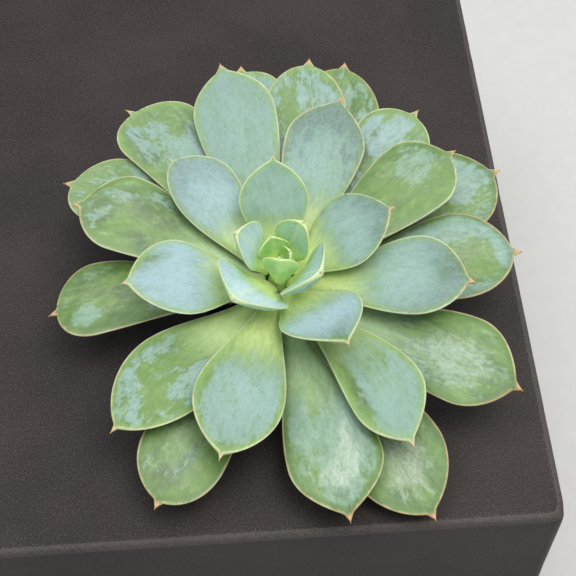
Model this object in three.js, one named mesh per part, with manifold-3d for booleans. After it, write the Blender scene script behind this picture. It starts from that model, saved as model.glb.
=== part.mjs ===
// A potted echeveria: one rosette growing low on a dark, cast square planter.
// Lengths are in millimetres and angles in degrees. +Z is up, and the origin is the middle of the
// planter's underside. The viewer's side is -Y.

import * as THREE from 'three';
import { mergeVertices } from 'three/addons/utils/BufferGeometryUtils.js';
import Module from 'manifold-3d';

const wasm = await Module();
wasm.setup();

const PLANTER_SIDE = 200;
const PLANTER_HEIGHT = 100;
const PLANTER_EDGE_ROUNDING = 1.5;
const PLANTER_CORNER_RADIUS = 2.5;

// The plant stands in a small round pocket, off the middle, above a drain hole.
const FOOT = new THREE.Vector3(35.4, -39.8, PLANTER_HEIGHT);
const POCKET_RADIUS = 20;
const POCKET_FLOOR = 25;
const POCKET_CHAMFER = 1;
const DRAIN_RADIUS = 5;
const CLEARANCE = 0.3;

const SOIL_TOP = 96.5;
const SOIL_EDGE_DROP = 1.2;
const ROOT_DEPTH = 40;
const ROOT_RADIUS = 5.4;

// The whole rosette leans a little towards the viewer.
const LEAN = 10.3;
const LEAN_HEADING = -98.3;
const BEND_HALF_HEIGHT = 3.5;

// Leaves follow one spiral. A higher step is an older leaf, lower on the stem and further round.
const SPIRAL_START = 141;
const SPIRAL_STEP = 137.5;
const FIRST_LEAF_HEIGHT = 30.5;
const HEIGHT_PER_STEP = 0.56;
const INNER_FOOT_RADIUS = 3;
const OUTER_FOOT_RADIUS = 6;
const YOUNGEST_STEP = -2;
const OLDEST_STEP = 32;

// A leaf's narrow foot, as a share of its greatest width, and how far it sags below a straight line.
const FOOT_SHARE = 0.22;
const BUD_FOOT_SHARE = 0.3;
const SAG_SHARE = 0.03;
const RIM_HALF_THICKNESS = 0.38;
const TIP_HALF_WIDTH = 0.12;
const POINT_HALF_WIDTH = 3;

// Each leaf grew its own way. Turn is how far it stands off its regular place on the spiral, pitch
// is its slope above the plane of the rosette, bow bends it aside and roll twists it. Shoulder is
// where along it is widest, and a low taper closes bluntly past there. Cup raises the margins, lift
// moves the foot up the stem, flare widens the point and sway bends the inner half aside.
function shape(step, turn, length, width, pitch, bow, roll, shoulder, taper, extra) {
  const usual = { cup: 0.04, lift: 0, flare: 0.8, sway: 0 };
  return { step, turn, length, width, pitch, bow, roll, shoulder, taper, ...usual, ...extra };
}

const INNER_LEAVES = [
  shape(-2, -11.5, 15, 10.5, 63, 1, 0, 0.5, 0.55, { cup: 0.32, flare: 0.4 }),
  shape(0, 16.5, 17.5, 11.5, 63, -1.5, 4, 0.54, 0.75, { cup: 0.28, flare: 0.4 }),
  shape(1, -37, 17, 17, 60, 0, -6, 0.6, 0.8, { cup: 0.38, flare: 0.4 }),
  shape(2, -1.5, 18.5, 20.5, 47, -0.5, 2, 0.54, 0.65, { cup: 0.32, flare: 0.4 }),
];
const MIDDLE_LEAVES = [
  shape(3, 0.5, 27, 17, 32, 0.5, 5, 0.58, 0.8, { flare: 0.7 }),
  shape(4, -10.5, 29, 20.5, 31, 1.5, -6, 0.46, 1.15, { lift: -0.3, flare: 0.5 }),
  shape(5, 12.5, 36, 20, 20, -2, 1, 0.58, 0.75, { lift: -0.2 }),
  shape(6, -13, 30, 19.5, 20, 2, -7, 0.56, 0.8, { lift: 0.3, flare: 0.5 }),
];
const OUTER_LEAVES = [
  shape(7, -8, 46.5, 21.5, 10, -0.5, -9, 0.64, 0.75, { lift: 0.4, flare: 0.5 }),
  shape(8, 8, 38.5, 17, 12, -2.5, -1, 0.66, 0.6, { flare: 0.4, sway: 0.5 }),
  shape(9, 7.5, 44, 21, 12, 2.5, 0, 0.68, 0.7, { lift: -0.2 }),
  shape(10, 16, 52, 21.5, 7, -1.5, 0, 0.6, 0.7, { lift: -0.2, flare: 0.5 }),
  shape(11, 0, 49, 20.5, 7, 0.5, 8, 0.72, 0.85, { lift: 0.3 }),
  shape(12, 11, 49, 19, 5, 3, 1, 0.7, 0.9, { flare: 0.6, sway: 2 }),
  shape(13, 2, 51.5, 21, 8, -3.5, -1, 0.76, 0.7),
  shape(14, 18.5, 53, 21, 6, 1.5, -1, 0.78, 0.65, { lift: -0.3 }),
  shape(15, 0.5, 58.5, 21, 2, -1, -7, 0.74, 0.55),
  shape(16, -0.5, 59.5, 21.5, 7, -0.5, -8, 0.76, 0.75, { flare: 1 }),
  shape(17, 6.5, 59.5, 22.5, 4, 2, 5, 0.74, 0.75),
  shape(18, -3.5, 53, 20, 0, -3.5, 3, 0.78, 0.5, { flare: 0.6, sway: -1.5 }),
  shape(19, 2, 57.5, 20, 3, 1, 7, 0.8, 0.5),
  shape(20, 10.5, 56.5, 23, 4, 1, 0, 0.72, 0.9, { flare: 0.7 }),
  shape(21, -9, 61, 22.5, 3, -4.5, -2, 0.82, 0.45, { lift: 0.4, flare: 0.6 }),
  shape(22, 9.5, 56.5, 23.5, 3, 2.5, 1, 0.72, 0.6, { flare: 0.9 }),
  shape(24, -1.5, 62, 22.5, 6, -0.5, 4, 0.72, 0.5, { flare: 1 }),
  shape(25, -5, 62.5, 24, 1, 1.5, 5, 0.7, 0.7),
  shape(26, -19, 59.5, 20, 4, -5.5, -5, 0.8, 0.5, { lift: -1 }),
  shape(27, -1, 61.5, 24, 3, 2, 2, 0.78, 0.65, { flare: 0.9 }),
  shape(29, -18.5, 65.5, 24.5, 0, 2, -4, 0.8, 0.4, { lift: 0.3, flare: 1 }),
  shape(32, 11.5, 69, 25, 0, -1.5, 1, 0.7, 0.5, { lift: -0.6, flare: 1 }),
];

// The youngest leaves still stand closed round the growing tip. Heading is the way each one faces
// out, and height and foot say where on the core it grows.
function bud(heading, height, foot, length, width, pitch, shoulder, taper, extra) {
  const straight = { bow: 0, roll: 0, cup: 0.35, flare: 0.3, sway: 0 };
  return { heading, height, foot, length, width, pitch, shoulder, taper, ...straight, ...extra };
}

const HEART_LEAVES = [
  bud(107, 33.4, 2.9, 8.6, 8, 73, 0.56, 1, { thick: 2 }),
  bud(269, 33.2, 3, 10.2, 9, 97, 0.56, 0.45, { thick: 1.5, roll: -12 }),
  bud(12, 33.6, 2.2, 8.6, 6.5, 86, 0.5, 0.6, { thick: 1.2 }),
  bud(190, 34, 1.3, 5.6, 3, 92, 0.45, 0.8, { thick: 1 }),
  bud(70, 34, 0.9, 5.6, 2.6, 96, 0.45, 0.8, { thick: 1 }),
];

const PLANTER_LOOK = { color: 0x3a3633, roughness: 0.85, metalness: 0 };
const SOIL_LOOK = { color: 0x2b2019, roughness: 1, metalness: 0 };
const STEM_LOOK = { color: 0x8f8060, roughness: 0.8, metalness: 0 };
const HEART_LOOK = { color: 0x9cbf78, roughness: 0.5, metalness: 0 };
const INNER_LOOK = { color: 0xb9d3cd, roughness: 0.6, metalness: 0 };
const MIDDLE_LOOK = { color: 0xadcbb9, roughness: 0.55, metalness: 0 };
const OUTER_LOOK = { color: 0x96b584, roughness: 0.45, metalness: 0 };

const radians = THREE.MathUtils.degToRad;
const part = new THREE.Group();

function addPiece(name, geometry, look) {
  const mesh = new THREE.Mesh(geometry, new THREE.MeshStandardMaterial(look));
  mesh.name = name;
  part.add(mesh);
}

function smooth(value) {
  const held = THREE.MathUtils.clamp(value, 0, 1);
  return held * held * (3 - 2 * held);
}

// Solids are joined and cut as closed meshes with shared corners.
function solidOf(geometry) {
  const bare = geometry.clone();
  bare.deleteAttribute('normal');
  bare.deleteAttribute('uv');
  const merged = mergeVertices(bare, 1e-4);
  const mesh = new wasm.Mesh({
    numProp: 3,
    vertProperties: Float32Array.from(merged.attributes.position.array),
    triVerts: Uint32Array.from(merged.index.array),
  });
  return new wasm.Manifold(mesh);
}

function geometryOf(solid) {
  const mesh = solid.getMesh();
  const geometry = new THREE.BufferGeometry();
  geometry.setAttribute('position', new THREE.Float32BufferAttribute(mesh.vertProperties, 3));
  geometry.setIndex(Array.from(mesh.triVerts));
  geometry.computeVertexNormals();
  return geometry;
}

// A closed skin over rings with the same number of points, each ring anticlockwise seen from the
// last ring. The second half of each ring is split the mirrored way, so both faces of a leaf are
// split alike.
function skinRings(rings) {
  const count = rings[0].length;
  const positions = rings.flat().flatMap((point) => point.toArray());
  const faces = [];
  for (let ring = 0; ring < rings.length - 1; ring += 1) {
    for (let side = 0; side < count; side += 1) {
      const next = (side + 1) % count;
      const low = ring * count + side;
      const lowNext = ring * count + next;
      const high = low + count;
      const highNext = lowNext + count;
      if (side < count / 2) {
        faces.push(low, lowNext, highNext, low, highNext, high);
      } else {
        faces.push(low, lowNext, high, lowNext, highNext, high);
      }
    }
  }
  const last = (rings.length - 1) * count;
  for (let side = 1; side < count - 1; side += 1) {
    faces.push(0, side + 1, side);
    faces.push(last, last + side, last + side + 1);
  }
  const geometry = new THREE.BufferGeometry();
  geometry.setAttribute('position', new THREE.Float32BufferAttribute(positions, 3));
  geometry.setIndex(faces);
  geometry.computeVertexNormals();
  return geometry;
}

function revolve(profile, centre) {
  const points = profile.map(([radius, height]) => new THREE.Vector2(radius, height));
  const geometry = new THREE.LatheGeometry(points, 48);
  geometry.rotateX(Math.PI / 2);
  geometry.translate(centre.x, centre.y, 0);
  return geometry;
}

// The rosette's own frame: its leaning axis, its right-hand side and its rear.
const heading = radians(LEAN_HEADING);
const axis = new THREE.Vector3(
  Math.sin(radians(LEAN)) * Math.cos(heading),
  Math.sin(radians(LEAN)) * Math.sin(heading),
  Math.cos(radians(LEAN)),
);
const sideways = new THREE.Vector3(1, 0, 0).addScaledVector(axis, -axis.x).normalize();
const rearward = new THREE.Vector3().crossVectors(axis, sideways);

function addPlanter() {
  const half = PLANTER_SIDE / 2;
  const corner = PLANTER_CORNER_RADIUS;
  const outline = new THREE.Shape();
  outline.moveTo(half, -half + corner);
  outline.absarc(half - corner, half - corner, corner, 0, Math.PI / 2);
  outline.absarc(-half + corner, half - corner, corner, Math.PI / 2, Math.PI);
  outline.absarc(-half + corner, -half + corner, corner, Math.PI, 1.5 * Math.PI);
  outline.absarc(half - corner, -half + corner, corner, 1.5 * Math.PI, 2 * Math.PI);
  const block = new THREE.ExtrudeGeometry(outline, {
    depth: PLANTER_HEIGHT - 2 * PLANTER_EDGE_ROUNDING,
    curveSegments: 5,
    bevelEnabled: true,
    bevelSegments: 4,
    bevelSize: PLANTER_EDGE_ROUNDING,
    bevelThickness: PLANTER_EDGE_ROUNDING,
    bevelOffset: -PLANTER_EDGE_ROUNDING,
  });
  block.translate(0, 0, PLANTER_EDGE_ROUNDING);
  const pocket = revolve([
    [0, -1],
    [DRAIN_RADIUS, -1],
    [DRAIN_RADIUS, POCKET_FLOOR],
    [POCKET_RADIUS, POCKET_FLOOR],
    [POCKET_RADIUS, PLANTER_HEIGHT - POCKET_CHAMFER],
    [POCKET_RADIUS + POCKET_CHAMFER + 1, PLANTER_HEIGHT + 1],
    [0, PLANTER_HEIGHT + 1],
  ], FOOT);
  addPiece('planter', geometryOf(solidOf(block).subtract(solidOf(pocket))), PLANTER_LOOK);
}

// The soil fills the pocket, a little lower at the edge, with a plain hole for the stem.
function addSoil() {
  const radius = POCKET_RADIUS - CLEARANCE;
  const holeRadius = ROOT_RADIUS + CLEARANCE;
  const holeFloor = SOIL_TOP - ROOT_DEPTH - CLEARANCE;
  const soil = revolve([
    [0, POCKET_FLOOR + CLEARANCE],
    [radius, POCKET_FLOOR + CLEARANCE],
    [radius, SOIL_TOP - SOIL_EDGE_DROP],
    [radius - 2, SOIL_TOP - SOIL_EDGE_DROP / 3],
    [radius - 6, SOIL_TOP],
    [holeRadius, SOIL_TOP],
    [holeRadius, holeFloor],
    [0, holeFloor],
  ], FOOT);
  addPiece('soil', soil, SOIL_LOOK);
}

// The stem is upright in the soil, then bends into the rosette's axis and thins to the crown, just
// inside the feet of the leaves.
function addStem() {
  const sides = 20;
  const below = (depth) => new THREE.Vector3(FOOT.x, FOOT.y, FOOT.z - depth);
  const along = (height) => FOOT.clone().addScaledVector(axis, height);
  const up = new THREE.Vector3(0, 0, 1);
  const rooted = PLANTER_HEIGHT - SOIL_TOP;
  const stations = [
    { at: below(rooted + ROOT_DEPTH), towards: up, radius: ROOT_RADIUS - 0.6 },
    { at: below(rooted + ROOT_DEPTH - 0.6), towards: up, radius: ROOT_RADIUS },
    { at: below(BEND_HALF_HEIGHT), towards: up, radius: ROOT_RADIUS },
    { at: along(0), towards: up.clone().add(axis).normalize(), radius: ROOT_RADIUS },
  ];
  const taper = [
    [BEND_HALF_HEIGHT, 5.3],
    [12, 5.3],
    [14, 5.2],
    [20, 4.2],
    [24, 3.55],
    [26, 3.1],
    [27, 2.95],
    [28, 2.7],
    [29, 2.45],
    [30, 2.2],
    [32, 1.9],
    [32.3, 1.5],
  ];
  for (const [height, radius] of taper) {
    stations.push({ at: along(height), towards: axis, radius });
  }
  const rings = stations.map(({ at, towards, radius }) => {
    const right = new THREE.Vector3(1, 0, 0).addScaledVector(towards, -towards.x).normalize();
    const rear = new THREE.Vector3().crossVectors(towards, right);
    return Array.from({ length: sides }, (_, side) => {
      const angle = (2 * Math.PI * side) / sides;
      return at.clone()
        .addScaledVector(right, radius * Math.cos(angle))
        .addScaledVector(rear, radius * Math.sin(angle));
    });
  });
  addPiece('stem', skinRings(rings), STEM_LOOK);
}

// Half the leaf's width: it swells from the foot to the shoulder, closes in a curve, and runs out in
// a point with hollow sides.
function halfWidth(leaf, along) {
  const half = leaf.width / 2;
  const spur = 1 + 0.02 * leaf.length;
  const bodyEnd = 1 - spur / leaf.length;
  const past = (along - leaf.shoulder) / (bodyEnd - leaf.shoulder);
  const swell = leaf.footShare + (1 - leaf.footShare) * smooth(along / leaf.shoulder);
  const close = Math.pow(1 - THREE.MathUtils.clamp(past, 0, 1) ** 2, leaf.taper);
  const body = half * (along < leaf.shoulder ? swell : close);
  const rest = (1 - along) * leaf.length;
  const rise = 1 - Math.exp(-(0.4 * rest + 0.25 * rest * rest) / POINT_HALF_WIDTH);
  const point = leaf.flare * POINT_HALF_WIDTH * rise * smooth(2 * past);
  return Math.max(Math.cbrt(body ** 3 + point ** 3), TIP_HALF_WIDTH);
}

// A point of the leaf's middle line in the rosette's frame: how far out, how high, how far aside.
function middleLine(leaf, along) {
  const pitch = radians(leaf.pitch);
  const sag = -SAG_SHARE * leaf.length * 4 * along * (1 - along);
  const run = leaf.length * along;
  return {
    out: leaf.foot + run * Math.cos(pitch) - sag * Math.sin(pitch),
    high: leaf.height + run * Math.sin(pitch) + sag * Math.cos(pitch),
    aside: 6.75 * along * (1 - along) * (leaf.bow * along + leaf.sway * (1 - along)),
  };
}

// One ring of twelve points round the leaf: from one margin along the lower face to the other
// margin, then back along the upper face, which is the flatter one.
function leafRing(leaf, along) {
  const acrossShares = [-1, -0.88, -0.5, 0, 0.5, 0.88, 1];
  const half = halfWidth(leaf, along);
  const grown = 0.6 + 0.4 * smooth(along / 0.3);
  const thinned = 1 - 0.62 * smooth((along - 0.55) / 0.45);
  const flesh = Math.min(leaf.thick * grown * thinned, half * 1.1);
  const rim = Math.min(RIM_HALF_THICKNESS, 0.1 + 0.6 * half);
  const cup = leaf.cup * smooth(along / 0.4) * half;

  const out = new THREE.Vector3()
    .addScaledVector(sideways, Math.cos(radians(leaf.heading)))
    .addScaledVector(rearward, Math.sin(radians(leaf.heading)));
  const round = new THREE.Vector3().crossVectors(axis, out);
  const here = middleLine(leaf, along);
  const before = middleLine(leaf, along - 1e-4);
  const after = middleLine(leaf, along + 1e-4);
  const slope = Math.atan2(after.high - before.high, after.out - before.out);
  const normal = axis.clone().multiplyScalar(Math.cos(slope)).addScaledVector(out, -Math.sin(slope));
  const roll = radians(leaf.roll);
  const across = round.clone().multiplyScalar(Math.cos(roll)).addScaledVector(normal, Math.sin(roll));
  const raise = normal.clone().multiplyScalar(Math.cos(roll)).addScaledVector(round, -Math.sin(roll));
  const centre = FOOT.clone()
    .addScaledVector(out, here.out)
    .addScaledVector(axis, here.high)
    .addScaledVector(round, here.aside);

  const facePoint = (share, faceSide) => {
    const edge = rim * Math.sqrt(1 - share ** 6);
    const lens = 1 - share ** 2;
    const height = cup * share ** 2 + faceSide * edge + (faceSide > 0 ? 0.35 : -0.65) * flesh * lens;
    return centre.clone().addScaledVector(across, half * share).addScaledVector(raise, height);
  };
  const lower = acrossShares.slice(0, -1).map((share) => facePoint(share, -1));
  const upper = acrossShares.slice(1).reverse().map((share) => facePoint(share, 1));
  return [...lower, ...upper];
}

function leafGeometry(leaf) {
  const bodyEnd = 1 - (1 + 0.02 * leaf.length) / leaf.length;
  const shares = [0, 0.14, 0.28, 0.42, 0.56].filter((share) => share < leaf.shoulder - 0.03);
  shares.push(leaf.shoulder);
  for (const share of [0.35, 0.6, 0.8, 0.93]) {
    shares.push(leaf.shoulder + (bodyEnd - leaf.shoulder) * share);
  }
  shares.push(bodyEnd + 0.15 * (1 - bodyEnd), 1);
  return skinRings(shares.map((share) => leafRing(leaf, share)));
}

// A leaf's place on the spiral follows from its step.
function placeOnSpiral(leaf, thick) {
  const age = (leaf.step - YOUNGEST_STEP) / (OLDEST_STEP - YOUNGEST_STEP);
  return {
    ...leaf,
    thick,
    footShare: FOOT_SHARE,
    heading: SPIRAL_START - SPIRAL_STEP * leaf.step + leaf.turn,
    height: FIRST_LEAF_HEIGHT - HEIGHT_PER_STEP * leaf.step + leaf.lift,
    foot: INNER_FOOT_RADIUS + (OUTER_FOOT_RADIUS - INNER_FOOT_RADIUS) * age,
  };
}

function addLeaves() {
  let number = 0;
  const groups = [
    { leaves: INNER_LEAVES, thick: 2.4, look: INNER_LOOK },
    { leaves: MIDDLE_LEAVES, thick: 2.4, look: MIDDLE_LOOK },
    { leaves: OUTER_LEAVES, thick: 2.6, look: OUTER_LOOK },
  ];
  for (const { leaves, thick, look } of groups) {
    for (const leaf of leaves) {
      number += 1;
      const name = `leaf_${String(number).padStart(2, '0')}`;
      addPiece(name, leafGeometry(placeOnSpiral(leaf, thick)), look);
    }
  }
}

// The heart's small leaves grow from a low round core on top of the stem.
function addHeart() {
  const sides = 16;
  const profile = [[32.6, 1.3], [33, 2.1], [33.6, 2.5], [34.6, 2.4], [35.4, 1.8], [35.9, 0.9]];
  const rings = profile.map(([height, radius]) => Array.from({ length: sides }, (_, side) => {
    const angle = (2 * Math.PI * side) / sides;
    return FOOT.clone()
      .addScaledVector(axis, height)
      .addScaledVector(sideways, radius * Math.cos(angle))
      .addScaledVector(rearward, radius * Math.sin(angle));
  }));
  let heart = solidOf(skinRings(rings));
  for (const leaf of HEART_LEAVES) {
    heart = heart.add(solidOf(leafGeometry({ ...leaf, footShare: BUD_FOOT_SHARE })));
  }
  addPiece('heart', geometryOf(heart), HEART_LOOK);
}

addPlanter();
addSoil();
addStem();
addHeart();
addLeaves();

export default part;
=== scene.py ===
"""A potted echeveria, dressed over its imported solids.

The shapes are worked out in millimetres and put into Blender in metres, in the frame of the solids.
"""

import itertools
import math

import bpy
import numpy as np
from bpy.props import FloatProperty, FloatVectorProperty, IntProperty, PointerProperty
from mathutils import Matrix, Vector


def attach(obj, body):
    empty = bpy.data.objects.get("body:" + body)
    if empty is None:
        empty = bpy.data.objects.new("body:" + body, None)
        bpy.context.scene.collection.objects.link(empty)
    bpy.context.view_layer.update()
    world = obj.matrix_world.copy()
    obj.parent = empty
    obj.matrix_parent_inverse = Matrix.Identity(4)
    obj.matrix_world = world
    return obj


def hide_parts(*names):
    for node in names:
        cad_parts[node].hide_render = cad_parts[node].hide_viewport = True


bl_info = {
    "name": "Potted echeveria",
    "version": (1, 0, 0),
    "blender": (4, 5, 0),
    "location": "3D View > Sidebar > Echeveria",
    "description": "Builds a bloom-covered echeveria rosette in a dark, cast, square planter",
    "category": "Add Mesh",
}

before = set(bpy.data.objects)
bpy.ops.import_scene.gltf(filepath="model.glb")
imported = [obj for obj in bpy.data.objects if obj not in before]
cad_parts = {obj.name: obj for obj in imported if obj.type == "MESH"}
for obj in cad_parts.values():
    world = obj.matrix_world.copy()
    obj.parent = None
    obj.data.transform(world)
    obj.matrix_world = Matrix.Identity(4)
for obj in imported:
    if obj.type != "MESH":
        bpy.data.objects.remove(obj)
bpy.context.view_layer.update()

MM = 0.001
UP = np.array([0.0, 0.0, 1.0])
RIGHT = np.array([1.0, 0.0, 0.0])

# The planter, in millimetres, with its planting pocket and drain hole under the plant's foot.
PLANTER_SIDE = 200.0
PLANTER_HEIGHT = 100.0
PLANTER_EDGE_ROUNDING = 1.5
PLANTER_CORNER_RADIUS = 2.5
POCKET_RADIUS = 20.0
POCKET_FLOOR = 25.0
POCKET_CHAMFER = 1.0
DRAIN_RADIUS = 5.0
CLEARANCE = 0.3

# Wear reaches this far from its edges, and the upper corner at the front right has lost a chip.
EDGE_WEAR_WIDTH = 2.2
UPRIGHT_WEAR_WIDTH = 2.0
CHIP_PLACE = np.array([99.0, -98.5, PLANTER_HEIGHT])
CHIP_RADIUS = 2.0
CHIP_DEPTH = 1.1

# The soil plug and the rooted end of the stem in it.
SOIL_TOP = 96.5
SOIL_EDGE_DROP = 1.2
ROOT_DEPTH = 40.0
ROOT_RADIUS = 5.4

# The dents that fallen leaves left in the stem, where it has about this radius.
SCARRED_RADIUS = 5.2
SCAR_HALF_WIDTH = 2.3
SCAR_HALF_HEIGHT = 0.85

# The rosette stands on its foot and leans a little towards the viewer.
FOOT = np.array([35.4, -39.8, PLANTER_HEIGHT])
LEAN = 10.3
LEAN_HEADING = -98.3
BEND_HALF_HEIGHT = 3.5
STEM_TAPER = [
    (3.5, 5.3), (12, 5.3), (14, 5.2), (20, 4.2), (24, 3.55), (26, 3.1),
    (27, 2.95), (28, 2.7), (29, 2.45), (30, 2.2), (32, 1.9), (32.3, 1.5),
]

# Leaves follow one spiral. A higher step is an older leaf, lower on the stem and further round.
SPIRAL_START = 141.0
SPIRAL_STEP = 137.5
FIRST_LEAF_HEIGHT = 30.5
HEIGHT_PER_STEP = 0.56
INNER_FOOT_RADIUS = 3.0
OUTER_FOOT_RADIUS = 6.0
YOUNGEST_STEP = -2
OLDEST_STEP = 32
FALLEN_STEPS = (23, 28, 30, 31, *range(33, 45), 46, 47)

# A leaf's narrow foot is a share of its greatest width, and its sag a share of its length. Its face
# swells and sinks by this height over cells of this size, and its flesh lies in these shares above
# and below. Rims and margins are full on leaves of at least these lengths.
FOOT_SHARE = 0.22
BUD_FOOT_SHARE = 0.3
SAG_SHARE = 0.03
RIM_HALF_THICKNESS = 0.38
TIP_HALF_WIDTH = 0.12
POINT_HALF_WIDTH = 3.0
SWELL_HEIGHT = 0.4
SWELL_CELL = 11.0
UPPER_FLESH = 0.35
LOWER_FLESH = 0.65
FULL_RIM_LENGTH = 30.0
FULL_MARGIN_LENGTH = 45.0
INNER_THICKNESS = 2.4
MIDDLE_THICKNESS = 2.4
OUTER_THICKNESS = 2.6

# How finely the pieces are cut, apart from what a user may change. The body of a leaf has this share
# of its stations before its widest place and the same after it.
STATIONS_PER_HALF = 0.42
OUTLINE_POINTS = 260
HEART_STATIONS = 72
HEART_AROUND = 48
CORE_AROUND = 40
STEM_STATIONS = 150
STEM_AROUND = 72
SOIL_AROUND = 180
SIDE_STEPS = 150
CORNER_STEPS = 17

# The studio, in metres: each light's name, place, size and tint, then the sky, the floor and the camera.
LIGHTS = (
    ("key_light", (0.27, -0.27, 1.12), 0.5, (1.0, 0.985, 0.96)),
    ("fill_light", (-0.15, -0.1, 1.15), 0.9, (0.93, 0.97, 1.0)),
    ("rear_light", (0.52, 0.45, 0.9), 0.6, (1.0, 1.0, 1.0)),
)
TARGET_RISE = 0.02
SKY_TINT = (0.85, 0.9, 1.0, 1.0)
SKY_STRENGTH = 0.37
FLOOR_RADIUS = 1.6
FLOOR_DROP = 0.0002
FLOOR_CORNERS = 64
CAMERA_PLACE = (0.0243, -0.2222, 0.386)
SENSOR_WIDTH = 36.0


# Shared sums

def smooth(value):
    """Rises from 0 to 1 as 3 v squared minus 2 v cubed, and is level at both ends."""
    held = np.clip(value, 0.0, 1.0)
    return held * held * (3.0 - 2.0 * held)


def unit(vector):
    """The vector over its length."""
    return vector / np.linalg.norm(vector, axis=-1, keepdims=True)


def stack(*parts):
    """Points or faces from the lists of their parts."""
    return np.stack(parts, axis=-1)


def even_turns(count):
    """Angles round a circle by even steps."""
    return np.linspace(0, 2 * math.pi, count, endpoint=False)


def lattice_noise(points, cell, seed):
    """Smooth random heights from -1 to 1: random values on a cubic lattice of that cell size, joined
    across each cell by the smooth curve."""
    table = np.random.default_rng(seed).uniform(-1.0, 1.0, (32, 32, 32))
    place = np.asarray(points) / cell
    corner = np.floor(place).astype(int)
    share = smooth(place - corner)
    total = np.zeros(place.shape[:-1])
    for step in itertools.product((0, 1), repeat=3):
        at = (corner + step) % 32
        weight = np.prod(np.where(step, share, 1.0 - share), axis=-1)
        total += weight * table[at[..., 0], at[..., 1], at[..., 2]]
    return total


def layered_noise(points, cell, seed):
    """Lattice noise added up over three layers, each of half the cell and half the height."""
    return sum(lattice_noise(points, cell / 2 ** layer, seed + layer) / 2 ** layer for layer in range(3))


def rosette_axes():
    """The rosette's leaning axis, its right-hand side and its rear, as unit vectors."""
    lean = math.radians(LEAN)
    heading = math.radians(LEAN_HEADING)
    across = math.sin(lean)
    axis = np.array([across * math.cos(heading), across * math.sin(heading), math.cos(lean)])
    sideways = unit(RIGHT - axis * axis[0])
    return axis, sideways, np.cross(axis, sideways)


AXIS, SIDEWAYS, REARWARD = rosette_axes()


# Meshes from grids of points

def grid_faces(stations, around, closed_along):
    """Quads between neighbouring points of a grid whose rings are closed."""
    spans = stations if closed_along else stations - 1
    ring, side = np.meshgrid(np.arange(spans), np.arange(around), indexing="ij")
    after = (ring + 1) % stations
    beside = (side + 1) % around
    first = ring * around
    last = after * around
    return stack(first + side, first + beside, last + beside, last + side).reshape(-1, 4)


def enclosed_volume(points, faces):
    """A sixth of the sum of corner . (corner x corner) over the faces cut into triangles."""
    corners = points[faces]
    total = np.einsum("ij,ij->i", corners[:, 0], np.cross(corners[:, 1], corners[:, 2])).sum()
    if faces.shape[1] == 4:
        total += np.einsum("ij,ij->i", corners[:, 0], np.cross(corners[:, 2], corners[:, 3])).sum()
    return total / 6.0


def closed_grid(grid, numbers, closed_along):
    """One closed surface from a grid of stations by points round by three: its points, its quads, the
    triangles that join an open end to a point, and its numbers. All faces look outwards."""
    stations, around = grid.shape[:2]
    points = grid.reshape(-1, 3)
    values = {name: np.broadcast_to(value, (stations, around)).reshape(-1)
              for name, value in numbers.items()}
    quads = grid_faces(stations, around, closed_along)
    caps = np.zeros((0, 3), int)
    if not closed_along:
        first = stations * around
        points = np.concatenate([points, grid[:1].mean(axis=1), grid[-1:].mean(axis=1)])
        values = {name: np.concatenate([value, [value[:around].mean(), value[-around:].mean()]])
                  for name, value in values.items()}
        here = np.arange(around)
        beside = (here + 1) % around
        start = (stations - 1) * around
        low = stack(beside, here, np.full(around, first))
        high = stack(start + here, start + beside, np.full(around, first + 1))
        caps = np.concatenate([low, high])
    if enclosed_volume(points, quads) + enclosed_volume(points, caps) < 0.0:
        quads = quads[:, ::-1]
        caps = caps[:, ::-1]
    return points, quads, caps, values


def make_piece(name, material, slot, grids, nodes=(), closed_along=False):
    """Makes one object at the origin, in metres, which rides on the one body, from grids of points in
    millimetres with the numbers that its material reads."""
    parts = [closed_grid(grid, numbers, closed_along) for grid, numbers in grids]
    firsts = np.cumsum([0] + [len(part[0]) for part in parts])
    points = np.concatenate([part[0] for part in parts]) * MM
    quads = np.concatenate([part[1] + first for part, first in zip(parts, firsts)])
    caps = np.concatenate([part[2] + first for part, first in zip(parts, firsts)])
    corners = np.concatenate([quads.ravel(), caps.ravel()])
    starts = np.concatenate([np.arange(len(quads)) * 4, len(quads) * 4 + np.arange(len(caps)) * 3])
    mesh = bpy.data.meshes.new(name)
    mesh.vertices.add(len(points))
    mesh.vertices.foreach_set("co", points.astype(np.float32).ravel())
    mesh.loops.add(len(corners))
    mesh.loops.foreach_set("vertex_index", corners.astype(np.int32))
    mesh.polygons.add(len(starts))
    mesh.polygons.foreach_set("loop_start", starts.astype(np.int32))
    mesh.polygons.foreach_set("use_smooth", np.ones(len(starts), bool))
    for title in parts[0][3]:
        layer = mesh.attributes.new(title, "FLOAT", "POINT")
        values = np.concatenate([part[3][title] for part in parts])
        layer.data.foreach_set("value", values.astype(np.float32))
    mesh.update(calc_edges=True)
    mesh.validate()
    mesh.materials.append(material)
    piece = bpy.data.objects.new(name, mesh)
    bpy.context.scene.collection.objects.link(piece)
    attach(piece, "root")
    if nodes:
        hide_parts(*nodes)


# Shaders

LEAF_NUMBERS = (
    "along_mm", "across_mm", "seed", "share", "edge_mm", "tip_mm",
    "bloom", "blue", "patchy", "tan", "specks",
)


def shade(code):
    """A linear colour from a six-figure display code."""
    values = [int(code[place:place + 2], 16) / 255.0 for place in (0, 2, 4)]
    return [value / 12.92 if value <= 0.04045 else ((value + 0.055) / 1.055) ** 2.4 for value in values]


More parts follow.
